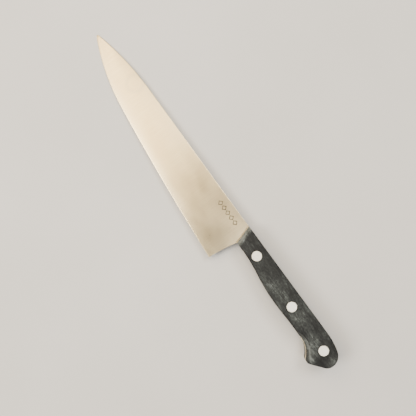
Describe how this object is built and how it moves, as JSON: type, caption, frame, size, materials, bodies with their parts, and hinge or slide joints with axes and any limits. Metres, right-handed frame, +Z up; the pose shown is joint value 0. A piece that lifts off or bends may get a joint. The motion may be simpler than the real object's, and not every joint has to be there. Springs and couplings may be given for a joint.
{
  "type": "chef's knife",
  "caption": "Kitchen knife with a broad pointed blade, a full tang and a riveted handle that ends in a beak.",
  "frame": {"origin": "centre of the knife's bounding box, on the table it lies on", "axes": "+X from the point to the butt, +Y towards the spine, +Z up, away from the table. The knife lies on its right side at rest, on the point and on the front of the right scale's flat side, so its own plane leans about 2.3 degrees off level along X and about 0.7 degrees along Y"},
  "size_m": [0.324, 0.041, 0.0221],
  "materials": {
    "blade_steel": "satin",
    "handle_wood": "matte",
    "rivet_aluminium": "satin"
  },
  "bodies": {
    "root": {"blade": "blade_steel", "left_scale": "handle_wood", "right_scale": "handle_wood", "front_rivet_socket": "rivet_aluminium", "front_rivet_pin": "rivet_aluminium", "middle_rivet_socket": "rivet_aluminium", "middle_rivet_pin": "rivet_aluminium", "rear_rivet_socket": "rivet_aluminium", "rear_rivet_pin": "rivet_aluminium"}
  },
  "joints": []
}
